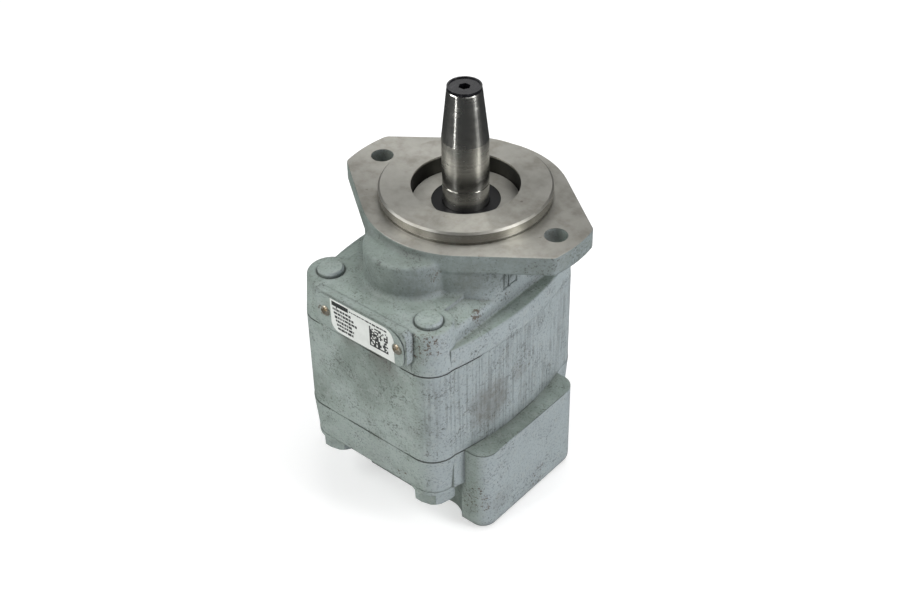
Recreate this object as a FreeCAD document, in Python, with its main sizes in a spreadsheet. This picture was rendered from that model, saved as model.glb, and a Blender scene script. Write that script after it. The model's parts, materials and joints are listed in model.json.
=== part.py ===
import FreeCAD, Part
import math
import os

import Sketcher

# Hydraulic gear pump, shaft up along +Z.  The origin is the centre of the
# mounting flange face, and X runs along the line of the two flange holes.

V = FreeCAD.Vector
doc = FreeCAD.newDocument("hydraulic_gear_pump")

# ---------------------------------------------------------------- dimensions

DIMENSIONS = [
    ("pilot_rad", 41.275, "SAE A pilot radius"),
    ("pilot_high", 6.35, "pilot height above the flange face"),
    ("pilot_cham", 0.9, "pilot edge chamfer"),
    ("relief_deep", 0.5, "undercut depth at the pilot base"),
    ("relief_high", 1.2, "undercut height at the pilot base"),
    ("relief_out", 0.3, "undercut reach outside the pilot, in the flange face"),
    ("relief_low", 0.4, "undercut depth below the flange face"),
    ("flange_thick", 9.6, "flange thickness"),
    ("flange_mid_rad", 49.5, "flange central radius"),
    ("flange_end_rad", 65.3, "flange end arc radius"),
    ("flange_tip_y", 14.5, "half height of the flange end arc"),
    ("flange_round", 4.5, "flange end corner radius"),
    ("flange_hole_x", 53.2, "half of the SAE A bolt spacing"),
    ("flange_hole_rad", 5.55, "flange hole radius"),
    ("neck_rad", 48.5, "neck radius"),
    ("neck_flat_x", 40.5, "neck flat beside each flange hole"),
    ("neck_back_y", 37.5, "neck flat at the back"),
    ("counter_rad", 25.9, "bore inside the pilot, radius"),
    ("counter_deep", 9.0, "bore inside the pilot, depth"),
    ("seal_rad", 16.5, "shaft seal bore radius"),
    ("seal_deep", 8.35, "shaft seal bore depth"),
    ("shaft_rad", 11.1, "shaft and journal radius"),
    ("shaft_pass_rad", 12.4, "shaft passage radius"),
    ("ring_z", 7.2, "low edge of the groove above the seal land of the shaft"),
    ("ring_wide", 0.6, "width of that groove"),
    ("ring_deep", 0.25, "depth of that groove"),
    ("taper_low", 31.4, "start of the shaft taper"),
    ("shaft_top", 57.0, "end of the shaft"),
    ("taper_top_rad", 8.3, "shaft radius at its end"),
    ("shaft_cham", 0.5, "chamfer at the shaft end"),
    ("thread_rad", 3.97, "thread hole in the shaft end, radius"),
    ("thread_deep", 26.0, "thread hole in the shaft end, depth"),
    ("key_width", 4.8, "keyway width"),
    ("key_deep", 2.6, "keyway depth at its middle"),
    ("key_cutter_rad", 11.1, "keyway cutter radius"),
    ("lobe_top_z", -22.6, "top of the bolt lobes"),
    ("side_top_z", -33.6, "side shoulder between the lobes"),
    ("roof_flat_x", 23.0, "half width of the level shoulder"),
    ("roof_side_x", 40.5, "half width of the sloping shoulder"),
    ("roof_side_z", -27.2, "sloping shoulder at its side"),
    ("hump_rad", 22.0, "boss over the driven gear axis, radius"),
    ("hump_top_z", -4.4, "top of the boss"),
    ("joint_a_z", -45.0, "joint of shaft end cover and gear housing"),
    ("joint_b_z", -97.5, "joint of gear housing and port end cover"),
    ("lobe_low_z", -118.6, "underside of the rear lobes"),
    ("pump_low_z", -147.0, "rear face of the port block"),
    ("centre_y", -19.85, "middle between the two gear axes"),
    ("gear_y", -39.7, "axis of the driven gear"),
    ("bolt_x", 30.2, "bolt position in x"),
    ("bolt_span_y", 42.45, "bolt distance from the middle in y"),
    ("bolt_rad", 6.35, "bolt radius"),
    ("bolt_hole_rad", 6.6, "clearance hole radius"),
    ("bolt_tap_rad", 6.4, "tapped hole radius"),
    ("bolt_end_high", 2.0, "bolt end above the lobe"),
    ("tap_mouth", 0.9, "chamfer round the mouth of each tapped hole"),
    ("bolt_head_high", 7.9, "bolt head height"),
    ("bolt_head_rad", 11.0, "bolt head radius across corners"),
    ("washer_thick", 2.1, "washer thickness"),
    ("washer_rad", 11.7, "washer radius"),
    ("lobe_rad", 12.9, "lobe radius of the gear housing"),
    ("lobe_top_rad", 11.2, "lobe radius at the top of the shaft end cover"),
    ("rear_lobe_rad", 13.1, "lobe radius of the port end cover at the joint"),
    ("rear_draft", 1.6, "how much the port end cover draws in towards its lobe underside"),
    ("side_x", 48.6, "half width of the housing at its middle"),
    ("side_arc_rad", 160.0, "radius of the housing sides"),
    ("block_x", 57.0, "half width of the port block"),
    ("block_front_y", -56.0, "front of the port block"),
    ("block_back_y", 16.0, "back of the port block"),
    ("block_round", 8.0, "port block corner radius"),
    ("block_foot_round", 4.6, "rounding under the port block"),
    ("scallop_rad", 13.4, "room around each bolt head"),
    ("bore_rad", 23.5, "gear bore radius"),
    ("gear_slack", 0.05, "end clearance of each gear"),
    ("teeth", 10, "teeth on each gear"),
    ("gear_module", 3.75, "gear module"),
    ("gear_shift", 0.35, "profile shift"),
    ("gear_thin", 0.12, "tooth thinning for backlash"),
    ("gear_tip_rad", 23.4, "tip radius"),
    ("gear_root_rad", 15.4, "root radius"),
    ("plate_thick", 4.0, "thrust plate thickness"),
    ("plate_rad", 23.45, "thrust plate radius"),
    ("plate_hole_rad", 11.6, "shaft hole in a thrust plate"),
    ("pocket_seal_out", 18.6, "pocket seal outer radius"),
    ("pocket_seal_in", 16.4, "pocket seal inner radius"),
    ("pocket_seal_deep", 1.4, "pocket seal thickness"),
    ("body_seal_out", 28.4, "body seal outer radius"),
    ("body_seal_in", 26.0, "body seal inner radius"),
    ("body_seal_deep", 1.7, "body seal thickness"),
    ("bush_out", 14.6, "bush outer radius"),
    ("bush_in", 11.15, "bush inner radius"),
    ("bush_long", 16.0, "bush length"),
    ("bush_bore_deep", 17.0, "bush bore depth"),
    ("journal_long", 15.5, "journal length inside a cover"),
    ("chamber_x", 15.0, "middle of each side chamber"),
    ("chamber_rad", 9.0, "half height of each side chamber"),
    ("passage_x", 19.0, "drilling from the gear chamber to a port"),
    ("passage_rad", 5.4, "drilling radius"),
    ("port_x", 28.0, "port axis distance from the middle"),
    ("inlet_rad", 15.5, "inlet port thread minor radius"),
    ("outlet_rad", 12.35, "outlet port thread minor radius"),
    ("port_deep", 20.0, "port depth"),
    ("inlet_face_rad", 24.0, "inlet spot face radius"),
    ("outlet_face_rad", 20.4, "outlet spot face radius"),
    ("port_face_deep", 0.6, "spot face depth"),
    ("port_cham", 1.6, "chamfer at each port mouth"),
    ("dowel_rad", 3.0, "dowel radius"),
    ("dowel_half", 6.5, "half length of a dowel"),
    ("dowel_x", 37.5, "dowel position in x"),
    ("dowel_dy", 8.5, "dowel offset from the middle in y"),
    ("wall_y", -75.2, "front wall of the castings"),
    ("back_y", 35.5, "back wall of the castings"),
    ("pad_y", -78.6, "face of the nameplate pad"),
    ("pad_left_x", -24.5, "left end of the pad"),
    ("pad_right_x", 31.0, "right end of the pad"),
    ("pad_top_z", -20.4, "top of the pad"),
    ("pad_low_z", -40.2, "bottom of the pad"),
    ("pad_nose", 4.0, "radius at the upper right of the pad"),
    ("pad_corner", 4.0, "radius of its lower corners"),
    ("plate_nose", 8.5, "radius at the upper right of the nameplate"),
    ("plate_corner", 3.5, "radius of its other corners"),
    ("plate_left_x", -22.6, "left end of the nameplate"),
    ("plate_right_x", 29.8, "right end of the nameplate"),
    ("plate_top_z", -21.1, "top of the nameplate"),
    ("plate_low_z", -39.5, "bottom of the nameplate"),
    ("plate_metal", 0.6, "nameplate thickness"),
    ("rivet_left_x", -18.0, "left rivet"),
    ("rivet_right_x", 26.0, "right rivet"),
    ("rivet_rad", 1.5, "rivet shank radius"),
    ("rivet_head_rad", 2.7, "rivet head radius"),
    ("rivet_head_high", 1.3, "rivet head height"),
    ("rivet_long", 5.0, "rivet shank length in the casting"),
    ("lip_rad", 11.15, "seal lip radius"),
    ("plug_rad", 8.1, "plug flange radius"),
    ("plug_thick", 1.0, "plug flange thickness"),
    ("plug_rim_high", 0.5, "raised rim on the plug"),
    ("plug_stem_rad", 3.9, "plug stem radius"),
    ("plug_stem_long", 13.0, "plug stem length"),
    ("plug_hex_rad", 2.9, "hexagon recess in the plug, across corners"),
]

sheet = doc.addObject("Spreadsheet::Sheet", "dims")
for row, (alias, value, note) in enumerate(DIMENSIONS, start=1):
    sheet.set(f"A{row}", note)
    sheet.set(f"B{row}", str(value))
    sheet.setAlias(f"B{row}", alias)
doc.recompute()


class Dim:
    """A length kept both as a number and as the sheet expression behind it."""

    def __init__(self, value, text):
        self.value = float(value)
        self.text = text

    def _join(self, sign, other, value):
        return Dim(value, f"({self.text} {sign} {as_dim(other).text})")

    def __add__(self, other):
        return self._join("+", other, self.value + as_dim(other).value)

    def __sub__(self, other):
        return self._join("-", other, self.value - as_dim(other).value)

    def __mul__(self, other):
        return self._join("*", other, self.value * as_dim(other).value)

    def __neg__(self):
        return Dim(-self.value, f"(-{self.text})")

    __radd__ = __add__


def as_dim(value):
    if isinstance(value, Dim):
        return value
    return Dim(value, f"({value})")


class Lengths:
    """Every sheet dimension under its own name."""


P = Lengths()
for alias, value, note in DIMENSIONS:
    setattr(P, alias, Dim(value, f"dims.{alias}"))

# ------------------------------------------------------------------- helpers


def bind(obj, prop, dim):
    """Give a property its value and tie it to the sheet."""
    dim = as_dim(dim)
    setattr(obj, prop, dim.value)
    obj.setExpression(prop, dim.text)


def place(obj, x=0.0, y=0.0, z=0.0, turn=None):
    """Put an object at sheet-driven coordinates."""
    spot = [as_dim(x), as_dim(y), as_dim(z)]
    turn = turn or FreeCAD.Rotation()
    obj.Placement = FreeCAD.Placement(V(*[s.value for s in spot]), turn)
    for axis, s in zip("xyz", spot):
        obj.setExpression(f"Placement.Base.{axis}", s.text)
    return obj


def cylinder(name, radius, z_low, z_high, x=0.0, y=0.0):
    obj = doc.addObject("Part::Cylinder", name)
    bind(obj, "Radius", radius)
    bind(obj, "Height", as_dim(z_high) - z_low)
    return place(obj, x, y, z_low)


def cone(name, low_radius, high_radius, z_low, z_high, x=0.0, y=0.0):
    obj = doc.addObject("Part::Cone", name)
    bind(obj, "Radius1", low_radius)
    bind(obj, "Radius2", high_radius)
    bind(obj, "Height", as_dim(z_high) - z_low)
    return place(obj, x, y, z_low)


def box(name, xs, ys, zs):
    obj = doc.addObject("Part::Box", name)
    for prop, pair in zip(("Length", "Width", "Height"), (xs, ys, zs)):
        bind(obj, prop, as_dim(pair[1]) - pair[0])
    return place(obj, xs[0], ys[0], zs[0])


def hexagon(name, corner_radius, z_low, z_high, x=0.0, y=0.0, angle=0.0):
    obj = doc.addObject("Part::Prism", name)
    obj.Polygon = 6
    bind(obj, "Circumradius", corner_radius)
    bind(obj, "Height", as_dim(z_high) - z_low)
    return place(obj, x, y, z_low, FreeCAD.Rotation(V(0, 0, 1), angle))


def fuse(name, shapes, refine=True):
    obj = doc.addObject("Part::MultiFuse", name)
    obj.Shapes = shapes
    obj.Refine = refine
    return obj


def common(name, shapes):
    obj = doc.addObject("Part::MultiCommon", name)
    obj.Shapes = shapes
    return obj


def cut(name, base, tools):
    tool = tools[0] if len(tools) == 1 else fuse(name + "_tools", tools)
    obj = doc.addObject("Part::Cut", name)
    obj.Base = base
    obj.Tool = tool
    obj.Refine = True
    return obj


def compound(name, shapes):
    obj = doc.addObject("Part::Compound", name)
    obj.Links = shapes
    return obj


def new_sketch(body, name, role):
    sketch = body.newObject("Sketcher::SketchObject", name)
    support = next(f for f in body.Origin.OriginFeatures if f.Role == role)
    sketch.AttachmentSupport = (support, [""])
    sketch.MapMode = "FlatFace"
    return sketch


def hold(sketch, kind, geo, pos, dim):
    """Hold one coordinate of a sketch point at a sheet-driven distance."""
    dim = as_dim(dim)
    if dim.value == 0:
        axis = -2 if kind == "DistanceX" else -1
        sketch.addConstraint(Sketcher.Constraint("PointOnObject", geo, pos, axis))
        return
    ends = (-1, 1, geo, pos) if dim.value > 0 else (geo, pos, -1, 1)
    sized = dim if dim.value > 0 else -dim
    index = sketch.addConstraint(Sketcher.Constraint(kind, *ends, sized.value))
    sketch.setExpression(f"Constraints[{index}]", sized.text)


def add_polygon(sketch, corners):
    """Closed polygon with every corner held by two distances."""
    spots = [(as_dim(a), as_dim(b)) for a, b in corners]
    points = [V(a.value, b.value, 0) for a, b in spots]
    first = sketch.GeometryCount
    count = len(points)
    for i in range(count):
        sketch.addGeometry(Part.LineSegment(points[i], points[(i + 1) % count]), False)
    for i in range(count):
        after = first + (i + 1) % count
        sketch.addConstraint(Sketcher.Constraint("Coincident", first + i, 2, after, 1))
    for i, (a, b) in enumerate(spots):
        hold(sketch, "DistanceX", first + i, 1, a)
        hold(sketch, "DistanceY", first + i, 1, b)


def turned(name, profile, y=0.0):
    """Body turned about the Z axis from a profile of (radius, z) corners."""
    body = doc.addObject("PartDesign::Body", name)
    sketch = new_sketch(body, name + "_profile", "XZ_Plane")
    add_polygon(sketch, profile)
    turn = body.newObject("PartDesign::Revolution", name + "_turn")
    turn.Profile = sketch
    turn.ReferenceAxis = (sketch, ["V_Axis"])
    turn.Angle = 360.0
    return place(body, 0.0, y, 0.0)


def round_edges(name, base, radius, wanted):
    """Round every edge of a shape that the given test picks."""
    doc.recompute()
    picked = [i for i, e in enumerate(base.Shape.Edges, start=1) if wanted(e)]
    if not picked:
        raise RuntimeError(name + ": no edge found")
    obj = doc.addObject("Part::Fillet", name)
    obj.Base = base
    obj.Edges = [(i, radius.value, radius.value) for i in picked]
    return obj


def middle(edge):
    low, high = edge.ParameterRange
    return edge.valueAt((low + high) / 2)


def is_upright(edge):
    ends = [v.Point for v in edge.Vertexes]
    return len(ends) == 2 and math.hypot(ends[0].x - ends[1].x, ends[0].y - ends[1].y) < 1e-6


SIDES = (("right", 1), ("left", -1))
BOLTS = [
    (f"{side}_{end}", P.bolt_x * sx, P.centre_y + P.bolt_span_y * sy)
    for side, sx in SIDES
    for end, sy in (("front", -1), ("back", 1))
]


def at_bolts(name, radius, z_low, z_high):
    return [cylinder(f"{name}_{tag}", radius, z_low, z_high, x, y) for tag, x, y in BOLTS]


def bulged_sides(name, z_low, z_high, grow):
    """Slab between the two lines of bolts, bulged at both sides."""
    zs = (z_low, z_high)
    shift = P.side_arc_rad - P.side_x - grow
    arcs = [
        cylinder(f"{name}_arc_{side}", P.side_arc_rad, z_low, z_high, -shift * s, P.centre_y)
        for side, s in SIDES
    ]
    band = box(
        name + "_band",
        (-P.side_x - 5, P.side_x + 5),
        (P.centre_y - P.bolt_span_y, P.centre_y + P.bolt_span_y),
        zs,
    )
    return common(name, arcs + [band])


def housing_outline(name, z_low, z_high, lobe_radius, grow):
    """Slab with the plan of the castings: four lobes joined by bulged sides."""
    lobes = at_bolts(name + "_lobe", lobe_radius, z_low, z_high)
    middle_box = box(
        name + "_middle",
        (-P.bolt_x, P.bolt_x),
        (P.wall_y - grow, P.back_y + grow),
        (z_low, z_high),
    )
    return fuse(name, lobes + [middle_box, bulged_sides(name + "_sides", z_low, z_high, grow)])


def figure_eight(name, radius, z_low, z_high):
    return [
        cylinder(name + "_drive", radius, z_low, z_high),
        cylinder(name + "_driven", radius, z_low, z_high, 0.0, P.gear_y),
    ]


def race_track(name, radius, z_low, z_high):
    """Both gear circles joined by straight sides."""
    joined = box(name + "_waist", (-radius, radius), (P.gear_y, 0.0), (z_low, z_high))
    return fuse(name, figure_eight(name, radius, z_low, z_high) + [joined])


def track_ring(name, outer, inner, z_low, z_high):
    return cut(
        name,
        race_track(name + "_outer", outer, z_low, z_high),
        [race_track(name + "_inner", inner, z_low, z_high)],
    )


# ----------------------------------------------------------- shaft end cover

flange = doc.addObject("PartDesign::Body", "flange_plate")
outline = new_sketch(flange, "flange_outline", "XY_Plane")
tip_x = math.sqrt(P.flange_end_rad.value ** 2 - P.flange_tip_y.value ** 2)
tip = V(tip_x, P.flange_tip_y.value, 0)
tip_angle = math.atan2(tip.y, tip.x)
touch_angle = tip_angle + math.acos(P.flange_mid_rad.value / tip.Length)
touch = V(math.cos(touch_angle), math.sin(touch_angle), 0) * P.flange_mid_rad.value


def mirrored(point, sx, sy):
    return V(point.x * sx, point.y * sy, 0)


def flange_arc(radius, start, end):
    circle = Part.Circle(V(0, 0, 0), V(0, 0, 1), radius)
    return Part.ArcOfCircle(circle, start, end)


flange_path = [
    flange_arc(P.flange_end_rad.value, -tip_angle, tip_angle),
    Part.LineSegment(tip, touch),
    flange_arc(P.flange_mid_rad.value, touch_angle, math.pi - touch_angle),
    Part.LineSegment(mirrored(touch, -1, 1), mirrored(tip, -1, 1)),
    flange_arc(P.flange_end_rad.value, math.pi - tip_angle, math.pi + tip_angle),
    Part.LineSegment(mirrored(tip, -1, -1), mirrored(touch, -1, -1)),
    flange_arc(P.flange_mid_rad.value, math.pi + touch_angle, 2 * math.pi - touch_angle),
    Part.LineSegment(mirrored(touch, 1, -1), mirrored(tip, 1, -1)),
]
for curve in flange_path:
    outline.addGeometry(curve, False)
steps = len(flange_path)
for i in range(steps):
    joint = "Tangent" if i % 4 in (1, 2) else "Coincident"
    outline.addConstraint(Sketcher.Constraint(joint, i, 2, (i + 1) % steps, 1))
for i in range(0, steps, 2):
    dim = P.flange_mid_rad if i % 4 else P.flange_end_rad
    outline.addConstraint(Sketcher.Constraint("Coincident", i, 3, -1, 1))
    index = outline.addConstraint(Sketcher.Constraint("Radius", i, dim.value))
    outline.setExpression(f"Constraints[{index}]", dim.text)
hold(outline, "DistanceY", 0, 2, P.flange_tip_y)
hold(outline, "DistanceY", 0, 1, -P.flange_tip_y)
hold(outline, "DistanceY", 4, 1, P.flange_tip_y)
hold(outline, "DistanceY", 4, 2, -P.flange_tip_y)
flange_pad = flange.newObject("PartDesign::Pad", "flange_pad")
flange_pad.Profile = outline
flange_pad.Reversed = True
bind(flange_pad, "Length", P.flange_thick)
place(flange)


def at_flange_tip(edge):
    spot = middle(edge)
    return is_upright(edge) and abs(abs(spot.x) - tip.x) < 0.5


flange_round = round_edges("flange_round", flange, P.flange_round, at_flange_tip)

counter_z = P.pilot_high - P.counter_deep
pilot = turned("pilot", [
    (0.0, -P.flange_thick),
    (P.pilot_rad - P.relief_deep, -P.flange_thick),
    (P.pilot_rad - P.relief_deep, P.relief_high),
    (P.pilot_rad, P.relief_high + P.relief_deep),
    (P.pilot_rad, P.pilot_high - P.pilot_cham),
    (P.pilot_rad - P.pilot_cham, P.pilot_high),
    (0.0, P.pilot_high),
])
neck = common("neck", [
    cylinder("neck_round", P.neck_rad, P.joint_a_z, -P.flange_thick),
    box(
        "neck_limits",
        (-P.neck_flat_x, P.neck_flat_x),
        (-P.neck_rad - 1, P.neck_back_y),
        (P.joint_a_z, -P.flange_thick),
    ),
])
cover_base = bulged_sides("cover_base", P.joint_a_z, P.side_top_z, as_dim(0.0))
cover_lobes = [
    cone(f"cover_lobe_{tag}", P.lobe_rad, P.lobe_top_rad, P.joint_a_z, P.lobe_top_z, x, y)
    for tag, x, y in BOLTS
]
cover_bridge = box(
    "cover_bridge",
    (-P.bolt_x, P.bolt_x),
    (P.wall_y, P.centre_y),
    (P.joint_a_z, P.lobe_top_z),
)
cover_back = box(
    "cover_back",
    (-P.bolt_x, P.bolt_x),
    (P.centre_y, P.back_y),
    (P.joint_a_z, P.roof_side_z),
)
cover_roof = doc.addObject("PartDesign::Body", "cover_roof")
roof_sketch = new_sketch(cover_roof, "cover_roof_profile", "XZ_Plane")
add_polygon(roof_sketch, [
    (-P.roof_side_x, P.joint_a_z),
    (P.roof_side_x, P.joint_a_z),
    (P.roof_side_x, P.roof_side_z),
    (P.roof_flat_x, P.lobe_top_z),
    (-P.roof_flat_x, P.lobe_top_z),
    (-P.roof_side_x, P.roof_side_z),
])
roof_pad = cover_roof.newObject("PartDesign::Pad", "cover_roof_pad")
roof_pad.Profile = roof_sketch
roof_pad.Midplane = True
bind(roof_pad, "Length", P.bolt_span_y * 2)
place(cover_roof, 0.0, P.centre_y, 0.0)
hump = cylinder("hump", P.hump_rad, P.joint_a_z, P.hump_top_z, 0.0, P.gear_y)
name_pad = box(
    "name_pad",
    (P.pad_left_x, P.pad_right_x),
    (P.pad_y, P.wall_y + 1),
    (P.pad_low_z, P.pad_top_z),
)


def runs_back(edge):
    ends = [v.Point for v in edge.Vertexes]
    return len(ends) == 2 and abs(ends[0].y - ends[1].y) > 0.3


def nose_edge(edge):
    spot = middle(edge)
    return runs_back(edge) and spot.x > 20 and spot.z > -25


def corner_edge(edge):
    spot = middle(edge)
    return runs_back(edge) and abs(spot.x) > 20 and spot.z < -25


pad_nose = round_edges("name_pad_nose", name_pad, P.pad_nose, nose_edge)
pad_round = round_edges("name_pad_round", pad_nose, P.pad_corner, corner_edge)
cover_blank = fuse(
    "cover_blank",
    [
        flange_round, pilot, neck, cover_base, cover_bridge, cover_back,
        cover_roof, hump, pad_round,
    ] + cover_lobes,
)


def reach(point, x=0.0, y=0.0):
    return math.hypot(point.x - x, point.y - y)


def level_at(edge, dim):
    points = [v.Point for v in edge.Vertexes] + [middle(edge)]
    return all(abs(p.z - dim.value) < 1e-3 for p in points)


def near(a, dim):
    return abs(a - dim.value) < 0.1


def neck_corner(edge):
    spot = middle(edge)
    return near(abs(spot.x), P.neck_flat_x) and is_upright(edge) and -28 < spot.y < 0


def roof_side(edge):
    spot = middle(edge)
    return near(abs(spot.x), P.roof_side_x) and near(spot.z, P.roof_side_z)


def front_rim(edge):
    spot = middle(edge)
    wall = near(spot.y, P.wall_y)
    lobe = near(math.hypot(abs(spot.x) - P.bolt_x.value, spot.y - BOLTS[0][2].value), P.lobe_top_rad)
    return level_at(edge, P.lobe_top_z) and (wall or lobe)


def hump_rim(edge):
    return level_at(edge, P.hump_top_z) and middle(edge).y < -55


def hump_foot(edge):
    spot = middle(edge)
    on_foot = near(reach(spot, 0.0, P.gear_y.value), P.hump_rad)
    return level_at(edge, P.lobe_top_z) and on_foot and spot.y < -50


def neck_foot(edge):
    spot = middle(edge)
    return level_at(edge, P.lobe_top_z) and near(reach(spot), P.neck_rad) and spot.y < 0


def side_corner(edge):
    return level_at(edge, P.side_top_z) and near(abs(middle(edge).x), P.roof_side_x)


def side_rim(edge):
    return level_at(edge, P.side_top_z) and abs(middle(edge).x) > 43


def flange_rim(edge):
    return level_at(edge, as_dim(0.0)) and reach(middle(edge)) > P.flange_mid_rad.value - 0.2


def flange_under(edge):
    spot = middle(edge)
    return level_at(edge, -P.flange_thick) and reach(spot) > P.flange_mid_rad.value - 0.2 and spot.y > -40


def neck_top(edge):
    return level_at(edge, -P.flange_thick) and near(abs(middle(edge).x), P.neck_flat_x)


cover_cast = cover_blank
for name, radius, test in (
    ("neck_corner", 3.0, neck_corner),
    ("roof_side", 2.5, roof_side),
    ("front_rim", 1.5, front_rim),
    ("hump_rim", 2.0, hump_rim),
    ("hump_foot", 3.0, hump_foot),
    ("neck_foot", 2.0, neck_foot),
    ("side_corner", 1.0, side_corner),
    ("side_rim", 0.6, side_rim),
    ("flange_rim", 0.5, flange_rim),
    ("flange_under", 0.3, flange_under),
    ("neck_top", 2.0, neck_top),
):
    cover_cast = round_edges("cover_" + name, cover_cast, as_dim(radius), test)

bush_bore_z = P.joint_a_z + P.bush_bore_deep
dowels = [
    ("right", P.dowel_x, P.centre_y + P.dowel_dy),
    ("left", -P.dowel_x, P.centre_y - P.dowel_dy),
]


def dowel_holes(name, z):
    low, high = z - P.dowel_half, z + P.dowel_half
    return [cylinder(f"{name}_{tag}", P.dowel_rad, low, high, x, y) for tag, x, y in dowels]


cover_holes = [
    turned("pilot_relief", [
        (P.pilot_rad - P.relief_deep, -P.relief_low),
        (P.pilot_rad + P.relief_out, -P.relief_low),
        (P.pilot_rad + P.relief_out, P.relief_high),
        (P.pilot_rad - P.relief_deep, P.relief_high),
    ]),
    cylinder("pilot_bore", P.counter_rad, counter_z, P.pilot_high + 1),
    cylinder("seal_bore", P.seal_rad, counter_z - P.seal_deep, counter_z + 1),
    cylinder("shaft_passage", P.shaft_pass_rad, P.joint_a_z - 1, P.pilot_high),
    cylinder("cover_bush_drive", P.bush_out, P.joint_a_z - 1, bush_bore_z),
    cylinder("cover_bush_driven", P.bush_out, P.joint_a_z - 1, bush_bore_z, 0.0, P.gear_y),
    track_ring(
        "cover_seal_groove",
        P.body_seal_out,
        P.body_seal_in,
        P.joint_a_z - 1,
        P.joint_a_z + P.body_seal_deep,
    ),
]
flange_zs = (-P.flange_thick - 2, P.pilot_high)
cover_holes += [
    cylinder(f"flange_hole_{side}", P.flange_hole_rad, *flange_zs, P.flange_hole_x * s)
    for side, s in SIDES
]
tap_top_z = P.lobe_top_z + P.bolt_end_high + 1
cover_holes += at_bolts("cover_tap", P.bolt_tap_rad, P.joint_a_z - 1, tap_top_z)
cover_holes += [
    cone(
        f"cover_tap_mouth_{tag}",
        P.bolt_rad - 0.3,
        P.bolt_rad + P.tap_mouth,
        P.lobe_top_z - P.tap_mouth,
        P.lobe_top_z,
        x,
        y,
    )
    for tag, x, y in BOLTS
    if tag.endswith("front")
]
cover_holes += dowel_holes("cover_dowel_hole", P.joint_a_z)

rivet_z = (P.plate_top_z + P.plate_low_z) * 0.5
rivet_spots = (("left", P.rivet_left_x), ("right", P.rivet_right_x))


def rivet_shape(name, radius, depth, x):
    obj = doc.addObject("Part::Cylinder", name)
    bind(obj, "Radius", radius)
    bind(obj, "Height", depth)
    return place(obj, x, P.pad_y - P.plate_metal, rivet_z, FreeCAD.Rotation(V(1, 0, 0), -90))


cover_holes += [
    rivet_shape(f"rivet_hole_{tag}", P.rivet_rad, P.rivet_long + P.plate_metal, x)
    for tag, x in rivet_spots
]
shaft_end_cover = cut("shaft_end_cover", cover_cast, cover_holes)

# --------------------------------------------------------------- gear housing

housing_blank = housing_outline("housing_blank", P.joint_b_z, P.joint_a_z, P.lobe_rad, as_dim(0.0))
housing_zs = (P.joint_b_z - 1, P.joint_a_z + 1)
chamber_box = box(
    "side_chamber_waist",
    (-P.chamber_x, P.chamber_x),
    (P.centre_y - P.chamber_rad, P.centre_y + P.chamber_rad),
    housing_zs,
)
chambers = [
    cylinder(f"side_chamber_{side}", P.chamber_rad, *housing_zs, P.chamber_x * s, P.centre_y)
    for side, s in SIDES
]
housing_holes = figure_eight("gear_bore", P.bore_rad, *housing_zs) + chambers + [chamber_box]
housing_holes += at_bolts("housing_bolt_hole", P.bolt_hole_rad, *housing_zs)
housing_holes += dowel_holes("housing_dowel_front", P.joint_a_z)
housing_holes += dowel_holes("housing_dowel_rear", P.joint_b_z)
gear_housing = cut("gear_housing", housing_blank, housing_holes)

# ------------------------------------------------------------- port end cover

rear_low_rad = P.rear_lobe_rad - P.rear_draft
rear_lobes = [
    cone(f"rear_lobe_{tag}", rear_low_rad, P.rear_lobe_rad, P.lobe_low_z, P.joint_b_z, x, y)
    for tag, x, y in BOLTS
]
rear_sides = bulged_sides("rear_sides", P.lobe_low_z, P.joint_b_z, as_dim(0.1))
rear_middle = doc.addObject("Part::Wedge", "rear_middle")
lobe_back_y = P.centre_y + P.bolt_span_y
lobe_front_y = P.centre_y - P.bolt_span_y
for corner, dim in (
    ("Xmin", -P.bolt_x),
    ("Xmax", P.bolt_x),
    ("X2min", -P.bolt_x),
    ("X2max", P.bolt_x),
    ("Ymin", P.lobe_low_z),
    ("Ymax", P.joint_b_z),
    ("Zmin", -(lobe_back_y + rear_low_rad)),
    ("Zmax", -(lobe_front_y - rear_low_rad)),
    ("Z2min", -(lobe_back_y + P.rear_lobe_rad)),
    ("Z2max", -(lobe_front_y - P.rear_lobe_rad)),
):
    bind(rear_middle, corner, dim)
place(rear_middle, 0.0, 0.0, 0.0, FreeCAD.Rotation(V(1, 0, 0), 90))
block = box(
    "port_block",
    (-P.block_x, P.block_x),
    (P.block_front_y, P.block_back_y),
    (P.pump_low_z, P.joint_b_z),
)


def block_foot_edge(edge):
    return level_at(edge, P.pump_low_z)


block_upright = round_edges("port_block_corners", block, P.block_round, is_upright)
block_foot = round_edges("port_block_foot", block_upright, P.block_foot_round, block_foot_edge)
rear_blank = fuse("rear_blank", [rear_middle, rear_sides, block_foot] + rear_lobes)
port_top = P.pump_low_z + P.port_deep
rear_bore_z = P.joint_b_z - P.bush_bore_deep
PORTS = (
    ("inlet", P.port_x, P.inlet_rad, P.inlet_face_rad),
    ("outlet", -P.port_x, P.outlet_rad, P.outlet_face_rad),
)
rear_holes = at_bolts("rear_bolt_hole", P.bolt_hole_rad, P.pump_low_z, P.joint_b_z + 1)
rear_holes += at_bolts("head_room", P.scallop_rad, P.pump_low_z - 1, P.lobe_low_z)
rear_holes += [
    cylinder("rear_bush_drive", P.bush_out, rear_bore_z, P.joint_b_z + 1),
    cylinder("rear_bush_driven", P.bush_out, rear_bore_z, P.joint_b_z + 1, 0.0, P.gear_y),
    track_ring(
        "rear_seal_groove",
        P.body_seal_out,
        P.body_seal_in,
        P.joint_b_z - P.body_seal_deep,
        P.joint_b_z + 1,
    ),
]
rear_holes += dowel_holes("rear_dowel_hole", P.joint_b_z)
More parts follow.
